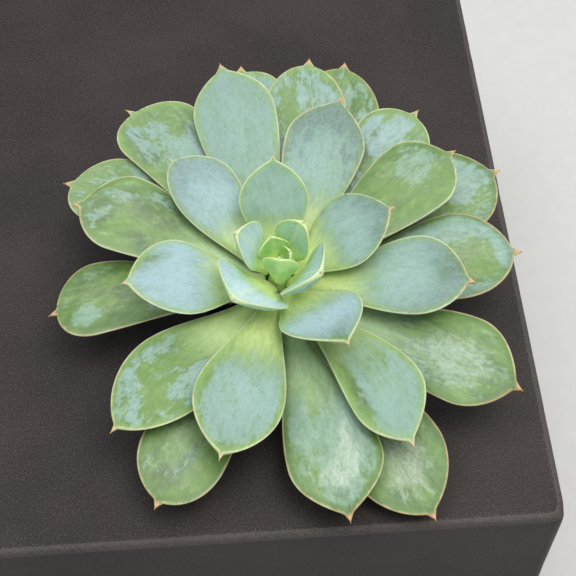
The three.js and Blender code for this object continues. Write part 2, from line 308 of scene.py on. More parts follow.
class Wire:
    """A value running between nodes, so that shader maths reads as plain expressions."""

    def __init__(self, shader, socket):
        self.shader = shader
        self.socket = socket

    def maths(self, operation, *values):
        return self.shader.node("ShaderNodeMath", {"operation": operation}, dict(enumerate(values)))

    def __add__(self, other):
        return self.maths("ADD", self, other)

    def __sub__(self, other):
        return self.maths("SUBTRACT", self, other)

    def __rsub__(self, other):
        return self.maths("SUBTRACT", other, self)

    def __mul__(self, other):
        return self.maths("MULTIPLY", self, other)

    def __truediv__(self, other):
        return self.maths("DIVIDE", self, other)

    def __pow__(self, other):
        return self.maths("POWER", self, other)

    def least(self, other):
        return self.maths("MINIMUM", self, other)

    def most(self, other):
        return self.maths("MAXIMUM", self, other)

    __radd__ = __add__
    __rmul__ = __mul__


class Shader:
    """One material's nodes."""

    def __init__(self, name):
        self.material = bpy.data.materials.new(name)
        self.material.use_nodes = True
        self.nodes = self.material.node_tree.nodes
        self.links = self.material.node_tree.links
        self.nodes.clear()

    def node(self, kind, settings=None, sockets=None, out=0):
        """Adds a node, makes its settings, then feeds its sockets, and returns one of its outputs."""
        made = self.nodes.new(kind)
        for name, value in (settings or {}).items():
            setattr(made, name, value)
        for key, value in (sockets or {}).items():
            if isinstance(value, Wire):
                self.links.new(value.socket, made.inputs[key])
            elif isinstance(value, (list, tuple)) and len(value) == 3 and made.inputs[key].type == "RGBA":
                made.inputs[key].default_value = (*value, 1.0)
            else:
                made.inputs[key].default_value = value
        return Wire(self, made.outputs[out])

    def number(self, name):
        """A number kept on the mesh."""
        return self.node("ShaderNodeAttribute", {"attribute_name": name}, out=2)

    def place(self, x, y, z):
        """A vector from three numbers."""
        return self.node("ShaderNodeCombineXYZ", None, {0: x, 1: y, 2: z})

    def object_place(self):
        """The point on the object, in metres."""
        return self.node("ShaderNodeTexCoord", out=3)

    def noise(self, at, scale, detail=2.0, rough=0.5, warp=0.0):
        """Noise about 0, within half up and down, with scale bumps in each unit of the vector."""
        fed = {"Vector": at, "Scale": scale, "Detail": detail, "Roughness": rough, "Distortion": warp}
        return self.node("ShaderNodeTexNoise", None, fed) - 0.5

    def ramp(self, value, low, high):
        """Rises smoothly from 0 at low to 1 at high, or falls where low is the higher."""
        turned = low > high
        fed = {"Value": value, "From Min": min(low, high), "From Max": max(low, high)}
        fed.update({"To Min": 1.0, "To Max": 0.0} if turned else {"To Min": 0.0, "To Max": 1.0})
        return self.node("ShaderNodeMapRange", {"interpolation_type": "SMOOTHSTEP"}, fed)

    def blend(self, factor, first, second, kind="MIX"):
        """The first colour going over to the second as the factor rises."""
        settings = {"data_type": "RGBA", "blend_type": kind}
        return self.node("ShaderNodeMix", settings, {0: factor, 6: first, 7: second}, out=2)

    def bump(self, height, distance, strength=1.0):
        """A bumped normal, with the height in units of the distance in metres."""
        fed = {"Height": height, "Distance": distance, "Strength": strength}
        return self.node("ShaderNodeBump", None, fed)

    def finish(self, colour, roughness, normal, constants=None):
        """Joins the surface to the output."""
        fed = {"Base Color": colour, "Roughness": roughness, "Normal": normal, **(constants or {})}
        surface = self.node("ShaderNodeBsdfPrincipled", None, fed)
        output = self.nodes.new("ShaderNodeOutputMaterial")
        self.links.new(surface.socket, output.inputs["Surface"])
        return self.material


def leaf_skin(name, tones, with_midline_highlight):
    """Green flesh under a powdery bloom that is rubbed off in patches, with a green band inside cream
    margins and a tan point. Patterns lie along the leaf by its own measures, and differ by its seed.
    Two numbers in a ramp are its ends, and the other numbers are the weights of the patterns."""
    s = Shader(name)
    along, across, seed, share, edge, tip, bloom, blue, patchy, tan, specks = map(s.number, LEAF_NUMBERS)

    plain = s.place(along, across, seed)
    lying = s.place(along * 0.6, across, seed + 3.0)
    brushed = s.place(along * 0.22, across, seed + 7.0)
    patches = s.noise(lying, 0.13, 2.0, 0.5, 0.7)
    swirls = s.noise(lying, 0.38, 5.0, 0.62, 0.5)
    brush = s.noise(brushed, 0.8, 4.0, 0.6, 0.3)
    grain = s.noise(plain, 3.4, 3.0, 0.65)
    fine = s.noise(plain, 7.0, 2.0, 0.6)
    flecks = s.noise(lying, 1.1, 4.0, 0.68, 0.3)
    dots = s.noise(plain, 1.7, 3.0, 0.7)

    # The flesh is pale towards the foot, mint on rubbed leaves and lime next to the stem on others: partly
    # the bases' own colour and partly painted light, brightened to stand in for light glowing through them.
    rubbed = (0.0 - specks).most(0.0)
    inner = s.ramp(share + brush * 0.16, 0.58, 0.12)
    near_foot = s.ramp(share + brush * 0.1, 0.52, 0.24)
    flesh = s.blend(s.ramp(patches + brush * 0.4, -0.12, 0.16), tones["flesh"], tones["deep"])
    flesh = s.blend(s.ramp(swirls, 0.0, 0.25) * 0.5, flesh, tones["fresh"])
    foot = s.blend(near_foot * 0.8, tones["base"], tones["lime"])
    foot = s.blend(rubbed * 3.0, foot, tones["pale"])
    flesh = s.blend(inner * 0.95, flesh, foot)

    # The bloom is a thin film with sharper patches on it, and both are thin at the foot and the margins.
    band = s.ramp(edge + brush * 1.6, 2.4, 0.5)
    cover = bloom - inner * 0.3 - band * 0.2
    cover = cover + patchy * (patches * 2.2 + swirls * 1.4 + brush * 0.9)
    cover = cover + flecks * (patchy * 0.8 + 0.15)
    film = s.ramp(cover, 0.2, 1.0)
    sharp = s.ramp(cover + grain * 0.15, 0.42, 0.58)
    mask = (film * 0.55 + sharp * 0.4) * (1.0 - inner * 0.75) * (1.0 - near_foot * 0.8)
    powder = s.blend(blue + swirls * 0.7 - inner * 0.5, tones["teal"], tones["powder"])
    colour = s.blend(mask, flesh, powder)
    lining = s.blend(rubbed * 2.5, tones["fresh"], tones["deep"])
    colour = s.blend(band * 0.55, colour, lining)

    # Some leaves are dusky towards the point and the margins, and rubbed ones carry a painted highlight.
    dusky = s.ramp(share - edge * 0.03 + swirls * 1.2, 0.33, 0.8)
    dusky = dusky * (s.ramp(dots + grain * 0.5, -0.08, 0.16) * 0.4 + 0.6)
    colour = s.blend(dusky * specks.most(0.0), colour, tones["scuff"])
    # Painted highlight: pale clouds in the middle of a rubbed leaf that stand in for a light's reflection.
    cloud = s.ramp(edge + swirls * 12.0, 2.5, 8.0) * s.ramp(share + patches * 1.4, 0.4, 0.75)
    painted_sheen = cloud * (s.ramp(dots + flecks * 0.8, -0.14, 0.16) * 0.35 + 0.5)
    colour = s.blend(painted_sheen * rubbed * 0.62, colour, tones["sheen_highlight"])
    # Painted highlight: a pale line down the middle of each face of young leaves, where light would catch a
    # ridge.
    if with_midline_highlight:
        painted_midline_highlight = s.ramp((across * across) ** 0.5, 1.1, 0.1) * s.ramp(share, 0.2, 0.5)
        colour = s.blend(painted_midline_highlight * 0.25, colour, tones["margin"])
    mottle = s.ramp(grain + flecks * 1.2 + fine * 0.5, 0.12, -0.2) * 0.34
    mottle = mottle + s.ramp(swirls + brush * 0.6, 0.05, -0.2) * 0.2
    colour = s.blend(mottle, colour, (0.6, 0.68, 0.6), "MULTIPLY")

    # The margins go from cream to tan with the leaf's own number, which also browns its point.
    margin = s.ramp(edge + grain * 0.3 + brush * 0.7, 0.56, 0.12)
    rim = s.blend(s.ramp(tan + patches * 1.4 + share * 0.3, 0.5, 1.1), tones["margin"], tones["tan"])
    colour = s.blend(margin * 0.62, colour, rim)
    aged = (tan * 2.0).least(1.0)
    point = s.ramp(tip / (aged * 0.6 + 0.4) + grain * 0.8, 2.6, 0.8)
    colour = s.blend(point * aged * 0.75, colour, tones["point"])
    end = s.ramp(tip + grain * 0.4, 0.9, 0.2)
    colour = s.blend(end * aged * 0.7, colour, tones["end"])

    roughness = 0.35 + mask * 0.24 + grain * 0.16
    height = brush * 0.4 + grain * 0.45 + mask * 0.12 + fine * 0.2
    return s.finish(colour, roughness, s.bump(height, 0.0001, 0.55), {
        "Subsurface Weight": 0.42,
        "Subsurface Radius": (0.7, 1.0, 0.35),
        "Subsurface Scale": 0.0035,
        "Specular IOR Level": 0.4,
    })


def planter_skin(tone, worn):
    """Charcoal cast block: fine pale and dark specks, soft clouds, and edges worn lighter."""
    s = Shader("charcoal_cast")
    wear = s.number("wear")
    at = s.object_place()
    clouds = s.noise(at, 28.0, 4.0, 0.6, 0.2)
    grain = s.noise(at, 1300.0, 3.0, 0.7)
    specks = s.noise(at, 2600.0, 2.0, 0.6)
    darkest, darker, lighter = ([share * part for part in tone] for share in (0.45, 0.68, 1.3))
    colour = s.blend(s.ramp(clouds + grain * 1.3, -0.25, 0.25), darker, lighter)
    colour = s.blend(s.ramp(specks, 0.04, 0.22) * 0.55, colour, worn)
    colour = s.blend(s.ramp(specks, -0.06, -0.16) * 0.6, colour, darkest)
    rubbed = s.ramp(wear + grain * 1.1 + specks * 0.8 + clouds * 0.7, 0.35, 1.05)
    colour = s.blend(rubbed * 0.45, colour, worn)
    roughness = 0.66 + grain * 0.3
    normal = s.bump(grain * 0.7 + specks * 0.3, 0.0003, 0.6)
    return s.finish(colour, roughness, normal, {"Specular IOR Level": 0.35})


def soil_skin():
    """Dark potting mix: brown fibres and crumbs with paler flecks."""
    s = Shader("potting_mix")
    at = s.object_place()
    crumbs = s.noise(at, 420.0, 4.0, 0.7, 0.5)
    flecks = s.noise(at, 1500.0, 2.0, 0.6)
    colour = s.blend(s.ramp(crumbs, -0.15, 0.15), shade("1d1410"), shade("3b2a1f"))
    colour = s.blend(s.ramp(flecks, 0.12, 0.22) * 0.7, colour, shade("6e5a46"))
    normal = s.bump(crumbs * 0.7 + flecks * 0.3, 0.0008)
    return s.finish(colour, 0.9 + crumbs * 0.15, normal, {"Specular IOR Level": 0.25})


def grit_skin():
    """Small stones, from dark slate to pale pumice by each one's own number."""
    s = Shader("grit")
    pale = s.number("pale")
    grain = s.noise(s.object_place(), 2200.0, 3.0, 0.65)
    colour = s.blend(s.ramp(pale, 0.1, 0.95), shade("4a3c30"), shade("b9ad98"))
    colour = s.blend(s.ramp(grain, -0.05, 0.2) * 0.5, colour, shade("2b221b"))
    return s.finish(colour, 0.8 + grain * 0.2, s.bump(grain, 0.0003), {"Specular IOR Level": 0.3})


def stem_skin():
    """Pale corky bark with darker cracks and brown scars where leaves fell, green where it is young."""
    s = Shader("corky_stem")
    scar = s.number("scar")
    young = s.number("young")
    at = s.object_place()
    tall = s.node("ShaderNodeMapping", None, {"Vector": at, "Scale": (1.0, 1.0, 0.35)})
    bark = s.noise(tall, 700.0, 4.0, 0.65, 0.5)
    fine = s.noise(at, 2400.0, 2.0, 0.6)
    colour = s.blend(s.ramp(bark, -0.15, 0.2), shade("6f6347"), shade("a89a74"))
    colour = s.blend(scar * 0.8, colour, shade("5a4432"))
    colour = s.blend(young + bark * 0.3, colour, shade("c3dd8c"))
    colour = s.blend(s.ramp(fine, 0.1, 0.25) * 0.4, colour, shade("cfc3a0"))
    normal = s.bump(bark * 0.7 + fine * 0.3, 0.0006)
    return s.finish(colour, 0.75 + bark * 0.2, normal, {"Specular IOR Level": 0.3})


def floor_skin(tone):
    """Pale paper with a faint grain."""
    s = Shader("pale_floor")
    grain = s.noise(s.object_place(), 160.0, 3.0, 0.6)
    colour = s.blend(s.ramp(grain, -0.2, 0.2), [0.97 * part for part in tone], tone)
    return s.finish(colour, 0.8 + grain * 0.1, s.bump(grain, 0.0001), {"Specular IOR Level": 0.2})


# Leaf shapes

def shape(step, turn, length, width, pitch, bow, roll, shoulder, taper, look, **extra):
    """One leaf off the spiral. Turn is how far it stands off its regular place, pitch is its slope
    above the rosette's plane, bow bends it aside and roll twists it. Shoulder is where along it is
    widest, and a low taper closes bluntly past there. Cup raises the margins, lift moves the foot up
    the stem, flare widens the point and sway bends the inner half aside. Spur is the length of the
    point in millimetres, and thinning is how much of the flesh is gone at the tip."""
    age = (step - YOUNGEST_STEP) / (OLDEST_STEP - YOUNGEST_STEP)
    lift = extra.pop("lift", 0.0)
    return {
        "heading": SPIRAL_START - SPIRAL_STEP * step + turn,
        "height": FIRST_LEAF_HEIGHT - HEIGHT_PER_STEP * step + lift,
        "foot": INNER_FOOT_RADIUS + (OUTER_FOOT_RADIUS - INNER_FOOT_RADIUS) * age,
        "length": length, "width": width, "pitch": pitch, "bow": bow, "roll": roll,
        "shoulder": shoulder, "taper": taper, "cup": 0.07, "flare": 0.8, "sway": 0.0,
        "spur": 1 + 0.02 * length, "thinning": 0.62, "foot_share": FOOT_SHARE, **look, **extra,
    }


def look(bloom, blue, patchy, tan, specks, *marks):
    """How much bloom a leaf keeps, how blue it is, how patchy, how tan its margins are, how dusky it is
    towards the point, or below 0 how far it is rubbed, which also sets the strength of its painted
    highlight, and the marks on its bloom."""
    values = {"bloom": bloom, "blue": blue, "patchy": patchy, "tan": tan, "specks": float(specks)}
    return {**values, "marks": marks}


def mark(along, across, long, wide, turn, strength):
    """A bloomed place, or a rubbed one where the strength is below 0: shares along and across, half
    length and half width in millimetres, and its turn in degrees from the leaf's length."""
    return (along, across, long, wide, turn, strength)


INNER_LEAVES = [
    shape(-2, -11.5, 15, 10.5, 63, 1, 0, 0.5, 0.55, look(0.6, 0.2, 0.1, 0.1, 0), cup=0.32, flare=0.4),
    shape(0, 16.5, 17.5, 11.5, 63, -1.5, 4, 0.54, 0.75,
          look(0.95, 0.8, 0.1, 0.1, 0.1), cup=0.28, flare=0.4),
    shape(1, -37, 17, 17, 60, 0, -6, 0.6, 0.8, look(0.85, 0.6, 0.15, 0.1, 0), cup=0.38, flare=0.4),
    shape(2, -1.5, 18.5, 20.5, 47, -0.5, 2, 0.54, 0.65, look(1.05, 1.0, 0.1, 0.1, 0), cup=0.32, flare=0.4),
]
MIDDLE_LEAVES = [
    shape(3, 0.5, 27, 17, 32, 0.5, 5, 0.58, 0.8, look(0.9, 0.2, 0.12, 0.2, 0), flare=0.7),
    shape(4, -10.5, 29, 20.5, 31, 1.5, -6, 0.46, 1.15,
          look(1.0, 0.95, 0.2, 0.3, 0.5, mark(0.85, -0.3, 3, 6, 60, -0.5)), lift=-0.3, flare=0.5),
    shape(5, 12.5, 36, 20, 20, -2, 1, 0.58, 0.75,
          look(1.0, 0.9, 0.2, 0.3, 0.1, mark(0.8, -0.6, 7, 3, 20, -0.5)), lift=-0.2),
    shape(6, -13, 30, 19.5, 20, 2, -7, 0.56, 0.8, look(0.88, 0.45, 0.25, 0.4, 0.8), lift=0.3, flare=0.5),
]
OUTER_LEAVES = [
    shape(7, -8, 46.5, 21.5, 10, -0.5, -9, 0.64, 0.75,
          look(0.5, 0.4, 0.45, 0.4, 0.2, mark(0.68, 0, 15, 7.5, 0, 0.35), mark(0.45, 0.8, 15, 2, 0, 0.5)),
          lift=0.4, flare=0.5),
    shape(8, 8, 38.5, 17, 12, -2.5, -1, 0.66, 0.6, look(0.95, 0.8, 0.2, 0.3, 0.6), flare=0.4, sway=0.5),
    shape(9, 7.5, 44, 21, 12, 2.5, 0, 0.68, 0.7,
          look(0.85, 0.5, 0.25, 0.4, 0.6, mark(0.86, 0.3, 5, 5, 0, -0.4)), lift=-0.2),
    shape(10, 16, 52, 21.5, 7, -1.5, 0, 0.6, 0.7,
          look(0.55, 0.4, 0.75, 0.4, -0.1, mark(0.3, 0, 12, 5, 0, -0.3)), lift=-0.2, flare=0.5),
    shape(11, 0, 49, 20.5, 7, 0.5, 8, 0.72, 0.85, look(0.85, 0.45, 0.22, 0.5, 0.9), lift=0.3),
    shape(12, 11, 49, 19, 5, 3, 1, 0.7, 0.9,
          look(0.7, 0.2, 0.35, 0.4, 0.1, mark(0.8, 0, 8, 7, 0, 0.3), mark(0.5, -0.85, 16, 2.5, 0, -0.5)),
          flare=0.6, sway=2),
    shape(13, 2, 51.5, 21, 8, -3.5, -1, 0.76, 0.7,
          look(0.45, 0.15, 0.55, 0.4, -0.3,
               mark(0.55, 0.05, 16, 6.5, 0, -0.5), mark(0.25, -0.5, 9, 4, 0, 0.4))),
    shape(14, 18.5, 53, 21, 6, 1.5, -1, 0.78, 0.65,
          look(0.25, 0.0, 0.5, 0.4, -0.3, mark(0.8, 0.1, 6, 6, 0, 0.4)), lift=-0.3),
    shape(15, 0.5, 58.5, 21, 2, -1, -7, 0.74, 0.55, look(0.28, 0.05, 0.5, 0.6, -0.4)),
    shape(16, -0.5, 59.5, 21.5, 7, -0.5, -8, 0.76, 0.75, look(0.88, 0.35, 0.25, 0.4, 0.2), flare=1),
    shape(17, 6.5, 59.5, 22.5, 4, 2, 5, 0.74, 0.75,
          look(0.38, 0.0, 0.45, 0.7, -0.8, mark(0.68, -0.15, 9, 6, 0, 0.2))),
    shape(18, -3.5, 53, 20, 0, -3.5, 3, 0.78, 0.5,
          look(0.22, 0.0, 0.5, 0.5, -0.3, mark(0.82, 0.4, 4, 3, 0, 0.6), mark(0.5, 0, 3, 8, 0, 0.4)),
          flare=0.6, sway=-1.5),
    shape(19, 2, 57.5, 20, 3, 1, 7, 0.8, 0.5,
          look(0.62, 0.7, 0.55, 0.4, -0.2, mark(0.6, 0.6, 9, 4, 0, -0.5))),
    shape(20, 10.5, 56.5, 23, 4, 1, 0, 0.72, 0.9,
          look(0.5, 0.15, 0.35, 0.6, -1.5, mark(0.66, 0.1, 10, 7, 0, 0.3),
               *[mark(0.4, side, 14, 2.5, 0, 0.3) for side in (0.75, -0.75)]), flare=0.7),
    shape(21, -9, 61, 22.5, 3, -4.5, -2, 0.82, 0.45,
          look(0.42, 0.45, 0.5, 0.4, -0.1, mark(0.58, 0, 13, 6, 0, 0.5)), lift=0.4, flare=0.6),
    shape(22, 9.5, 56.5, 23.5, 3, 2.5, 1, 0.72, 0.6,
          look(0.7, 0.3, 0.45, 0.8, -0.4, mark(0.78, -0.25, 8, 6, 20, -0.55), mark(0.93, 0, 3, 4, 0, 0.5)),
          flare=0.9),
    shape(24, -1.5, 62, 22.5, 6, -0.5, 4, 0.72, 0.5, look(0.58, 0.5, 0.75, 0.5, -0.1), flare=1),
    shape(25, -5, 62.5, 24, 1, 1.5, 5, 0.7, 0.7, look(0.35, 0.15, 0.35, 0.8, -1)),
    shape(26, -19, 59.5, 20, 4, -5.5, -5, 0.8, 0.5, look(0.55, 0.4, 0.8, 0.5, -0.2), lift=-1),
    shape(27, -1, 61.5, 24, 3, 2, 2, 0.78, 0.65,
          look(0.5, 0.4, 0.6, 0.6, -0.4, mark(0.82, 0, 5, 7, 0, 0.3)), flare=0.9),
    shape(29, -18.5, 65.5, 24.5, 0, 2, -4, 0.8, 0.4, look(0.7, 0.6, 0.5, 0.5, 0), lift=0.3, flare=1),
    shape(32, 11.5, 69, 25, 0, -1.5, 1, 0.7, 0.5, look(0.42, 0.15, 0.8, 1, -0.2), lift=-0.6, flare=1),
]


def bud(heading, height, foot, length, width, pitch, shoulder, taper, thick, roll=0.0):
    """One of the heart's leaves, which still stand closed round the growing tip."""
    return {
        "heading": heading, "height": height, "foot": foot, "length": length, "width": width,
        "pitch": pitch, "shoulder": shoulder, "taper": taper, "thick": thick, "roll": roll,
        "bow": 0.0, "cup": 0.35, "flare": 0.15, "sway": 0.0, "spur": 0.5, "thinning": 0.88,
        "foot_share": BUD_FOOT_SHARE, **look(0.3, 0.1, 0.1, 0, 0),
    }


HEART_LEAVES = [
    bud(107, 33.4, 2.9, 8.6, 8, 73, 0.56, 1, 2.0),
    bud(269, 33.2, 3, 10.2, 9, 97, 0.56, 0.45, 1.5, -12),
    bud(12, 33.6, 2.2, 8.6, 6.5, 86, 0.5, 0.6, 1.2),
    bud(190, 34, 1.3, 5.6, 3, 92, 0.45, 0.8, 1.0),
    bud(70, 34, 0.9, 5.6, 2.6, 96, 0.45, 0.8, 1.0),
]
HEART_MARGIN_FINENESS = 1.6
# The growing tip between them, as heights and radii, and the numbers its material reads.
CORE_NUMBERS = (2.0, 1.0, 3.0, 0.15, 3.0, 9.0, 0.1, 0.0, 0.1, 0.0, 0.0)
CORE_PROFILE = [(32.6, 1.3), (33, 2.1), (33.6, 2.5), (34.6, 2.4), (35.4, 1.8), (35.9, 0.9)]


def half_width(leaf, along):
    """Swells from the foot to the shoulder by the smooth curve and closes as (1 - past squared) to the
    taper. The point with hollow sides, which rises as 1 - e to the -(0.4 r + 0.25 r squared) over its
    own half width at a distance r from the tip, is joined to it as the cube root of their cubes."""
    half = leaf["width"] / 2
    body_end = 1 - leaf["spur"] / leaf["length"]
    past = (along - leaf["shoulder"]) / (body_end - leaf["shoulder"])
    swell = leaf["foot_share"] + (1 - leaf["foot_share"]) * smooth(along / leaf["shoulder"])
    close = (1 - np.clip(past, 0, 1) ** 2) ** leaf["taper"]
    body = half * np.where(along < leaf["shoulder"], swell, close)
    rest = (1 - along) * leaf["length"]
    rise = 1 - np.exp(-(0.4 * rest + 0.25 * rest ** 2) / POINT_HALF_WIDTH)
    point = leaf["flare"] * POINT_HALF_WIDTH * rise * smooth(2 * past)
    return np.maximum(np.cbrt(body ** 3 + point ** 3), TIP_HALF_WIDTH)


def middle_line(leaf, along):
    """How far out, how high and how far aside the leaf's middle runs at a share u: straight at its
    pitch, sagging as 4 u (1 - u), and bent aside as 6.75 u (1 - u) times bow u plus sway (1 - u)."""
    pitch = math.radians(leaf["pitch"])
    sag = -SAG_SHARE * leaf["length"] * 4 * along * (1 - along)
    run = leaf["length"] * along
    out = leaf["foot"] + run * math.cos(pitch) - sag * math.sin(pitch)
    high = leaf["height"] + run * math.sin(pitch) + sag * math.cos(pitch)
    aside = 6.75 * along * (1 - along) * (leaf["bow"] * along + leaf["sway"] * (1 - along))
    return out, high, aside


def leaf_stations(leaf, count):
    """Shares along the leaf: even to the shoulder, closer towards the end of the body by a sine, and
    close together on the spur."""
    body_end = 1 - leaf["spur"] / leaf["length"]
    part = int(count * STATIONS_PER_HALF)
    first = np.linspace(0, leaf["shoulder"], part, endpoint=False)
    turn = np.linspace(0, math.pi / 2, part, endpoint=False)
    second = leaf["shoulder"] + (body_end - leaf["shoulder"]) * np.sin(turn)
    third = np.linspace(body_end, 1, count - 2 * part)
    return np.concatenate([first, second, third])


def margin_distance(leaf, along, share):
    """Distance from each point of the flattened leaf to the nearest point of its outline."""
    line = np.linspace(0, 1, OUTLINE_POINTS)
    width = half_width(leaf, line)
    outline = np.concatenate([stack(line * leaf["length"], side) for side in (width, -width)])
    x = np.broadcast_to((along * leaf["length"])[:, None], share.shape)
    y = share * half_width(leaf, along)[:, None]
    gap = np.hypot(x[..., None] - outline[:, 0], y[..., None] - outline[:, 1])
    return gap.min(axis=-1)


def bloom_field(leaf, along, share):
    """The leaf's own bloom plus its marks, each its strength times e to the minus r cubed, with r the
    distance from its middle in its own half lengths and half widths."""
    x = along[:, None] * leaf["length"]
    y = share * half_width(leaf, along)[:, None]
    field = np.full(share.shape, leaf["bloom"])
    for at, side, long, wide, turn, strength in leaf["marks"]:
        angle = math.radians(turn)
        dx = x - at * leaf["length"]
        dy = y - side * float(half_width(leaf, np.array([at]))[0])
        u = (dx * math.cos(angle) + dy * math.sin(angle)) / long
        v = (dy * math.cos(angle) - dx * math.sin(angle)) / wide
        field += strength * np.exp(-(u * u + v * v) ** 1.5)
    return field


def leaf_surface(leaf, stations, around):
    """A leaf's closed skin and the numbers its material reads. Round each station the share across
    runs from one margin to the other along the lower face and back along the upper one, as the sine
    of an even turn. The face stands off the middle line by cup x share squared, plus or minus a rim
    of root (1 - share to the sixth), plus a lens of (1 - share squared) times the flesh, and the
    lens also swells and sinks by smooth noise. Rims are thinner on short leaves, and the distance to
    the margin reads longer on them, so that their margins are finer."""
    along = leaf_stations(leaf, stations)
    turn = np.linspace(-math.pi / 2, 1.5 * math.pi, around, endpoint=False)
    share = np.sin(turn)
    side = np.where(np.cos(turn) > 0, -1.0, 1.0)
    half = half_width(leaf, along)
    fullness = (0.6 + 0.4 * smooth(along / 0.3)) * (1 - leaf["thinning"] * smooth((along - 0.55) / 0.45))
    flesh = np.minimum(leaf["thick"] * fullness, half * 1.1)
    grown = min(1, leaf["length"] / FULL_RIM_LENGTH)
    rim = np.minimum(RIM_HALF_THICKNESS * (0.3 + 0.7 * grown), 0.1 + 0.6 * half)
    cup = leaf["cup"] * smooth(along / 0.4) * half

    heading = math.radians(leaf["heading"])
    out = SIDEWAYS * math.cos(heading) + REARWARD * math.sin(heading)
    sidewise = np.cross(AXIS, out)
    here, before, after = (middle_line(leaf, along + step) for step in (0.0, -1e-4, 1e-4))
    slope = np.arctan2(after[1] - before[1], after[0] - before[0])[:, None]
    normal = AXIS * np.cos(slope) - out * np.sin(slope)
    roll = math.radians(leaf["roll"])
    across = sidewise * math.cos(roll) + normal * math.sin(roll)
    raised = normal * math.cos(roll) - sidewise * math.sin(roll)
    centre = FOOT + out * here[0][:, None] + AXIS * here[1][:, None] + sidewise * here[2][:, None]

    lens = 1 - share ** 2
    edge = np.sqrt(np.clip(1 - share ** 6, 0, 1))
    height = cup[:, None] * share ** 2 + side * rim[:, None] * edge
    height = height + np.where(side > 0, UPPER_FLESH, -LOWER_FLESH) * flesh[:, None] * lens
    x = (along * leaf["length"])[:, None] + 0 * share
    y = half[:, None] * share
    seed = leaf["seed"]
    swell = lattice_noise(stack(x, y, np.full_like(x, seed * 40.0)), SWELL_CELL, 5)
    height = height + SWELL_HEIGHT * swell * lens * smooth(x / 8) * grown
    grid = centre[:, None] + across[:, None] * y[..., None] + raised[:, None] * height[..., None]

    shares = np.broadcast_to(share, grid.shape[:2])
    full = min(1, leaf["length"] / FULL_MARGIN_LENGTH)
    numbers = {
        "along_mm": x,
        "across_mm": y,
        "seed": seed * 17.0 + (side > 0) * 5.0,
        "share": along[:, None],
        "edge_mm": margin_distance(leaf, along, shares) / (0.2 + 0.8 * full),
        "tip_mm": np.hypot(leaf["length"] - x, y),
        "bloom": bloom_field(leaf, along, shares),
    }
    numbers.update({name: leaf[name] for name in ("blue", "patchy", "tan", "specks")})
    return grid, numbers


# Other shapes

def ring_round(centre, axis, right, radii, around):
    """Points round an axis at each centre: radius times the cosine and sine of an even turn."""
    turn = even_turns(around)[:, None]
    axis, right = (np.broadcast_to(part, centre.shape)[:, None] for part in (axis, right))
    circle = np.cos(turn) * right + np.sin(turn) * np.cross(axis, right)
    return centre[:, None] + circle * np.asarray(radii)[..., None]


def square_outline(half, radius):
    """Places round a square with round corners, by even steps along the sides and finer ones round
    the corners, and the directions outward there."""
    straight = half - radius
    side = np.linspace(-straight, straight, SIDE_STEPS, endpoint=False)
    turn = np.linspace(0, math.pi / 2, CORNER_STEPS, endpoint=False)
    arc = stack(np.cos(turn), np.sin(turn))
    quarter = np.concatenate([stack(np.full_like(side, half), side), straight + radius * arc])
    outward = np.concatenate([np.tile([1.0, 0.0], (SIDE_STEPS, 1)), arc])
    places = []
    normals = []
    for angle in np.arange(4) * math.pi / 2:
        spin = np.array([[math.cos(angle), math.sin(angle)], [-math.sin(angle), math.cos(angle)]])
        places.append(quarter @ spin)
        normals.append(outward @ spin)
    return np.concatenate(places), np.concatenate(normals)


# What a user may change

def tint(name, description, code):
    """A colour setting."""
    return FloatVectorProperty(
        name=name, description=description, subtype="COLOR", size=3, min=0.0, max=1.0, default=shade(code))


def depth(name, description, most, usual):
    """A setting of a small depth in metres."""
    return FloatProperty(name=name, description=description, unit="LENGTH", min=0.0, max=most, default=usual)


def power(name, usual):
    """A light's power in watts."""
    return FloatProperty(name=name, description="Power in watts", min=0.0, max=200.0, default=usual)


class PlanterSettings(bpy.types.PropertyGroup):
    tone: tint("Tone", "Colour of the cast block", "332c29")
    worn: tint("Worn", "Colour of the specks and of the worn edges", "665f5a")
    wear: depth("Wear", "Depth that the edges are worn in", 0.002, 0.00015)


class SoilSettings(bpy.types.PropertyGroup):
    roughness: depth("Crumb height", "How far crumbs rise and sink", 0.002, 0.0006)
    stones: IntProperty(
        name="Stones", description="Number of small stones on the soil", min=0, max=600, default=260)


class StemSettings(bpy.types.PropertyGroup):
    scar_depth: depth("Scar depth", "How deep a fallen leaf's scar is", 0.001, 0.00035)


class LeafSettings(bpy.types.PropertyGroup):
    stations: IntProperty(
        name="Stations", description="Points along each leaf", min=24, max=160, default=112)
    around: IntProperty(
        name="Around", description="Points round each leaf", min=16, max=96, default=56)
    flesh: tint("Flesh", "Green of a rubbed leaf", "7b9a54")
    powder: tint("Bloom", "Blue-white of the thickest bloom", "abc4cb")
    margin: tint("Margin", "Cream of the margins", "e8eebb")


class StageSettings(bpy.types.PropertyGroup):
    floor: tint("Floor", "Colour of the floor", "d9d7d2")
    key_light: power("Key light", 5.2)
    fill_light: power("Fill light", 6.0)
    rear_light: power("Rear light", 2.2)
    lens: FloatProperty(
        name="Lens", description="Focal length in millimetres", min=20.0, max=200.0, default=80.5)
    elevation: FloatProperty(
        name="Elevation", description="Camera angle above the horizon", subtype="ANGLE",
        min=0.0, max=1.57, default=math.radians(55.9))
    azimuth: FloatProperty(
        name="Azimuth", description="Camera angle round the plant, from -Y towards +X", subtype="ANGLE",
        min=-3.15, max=3.15, default=math.radians(-4.0))


class EcheveriaSettings(bpy.types.PropertyGroup):
    planter: PointerProperty(type=PlanterSettings)
    soil: PointerProperty(type=SoilSettings)
    stem: PointerProperty(type=StemSettings)
    leaves: PointerProperty(type=LeafSettings)
    stage: PointerProperty(type=StageSettings)


# Pieces

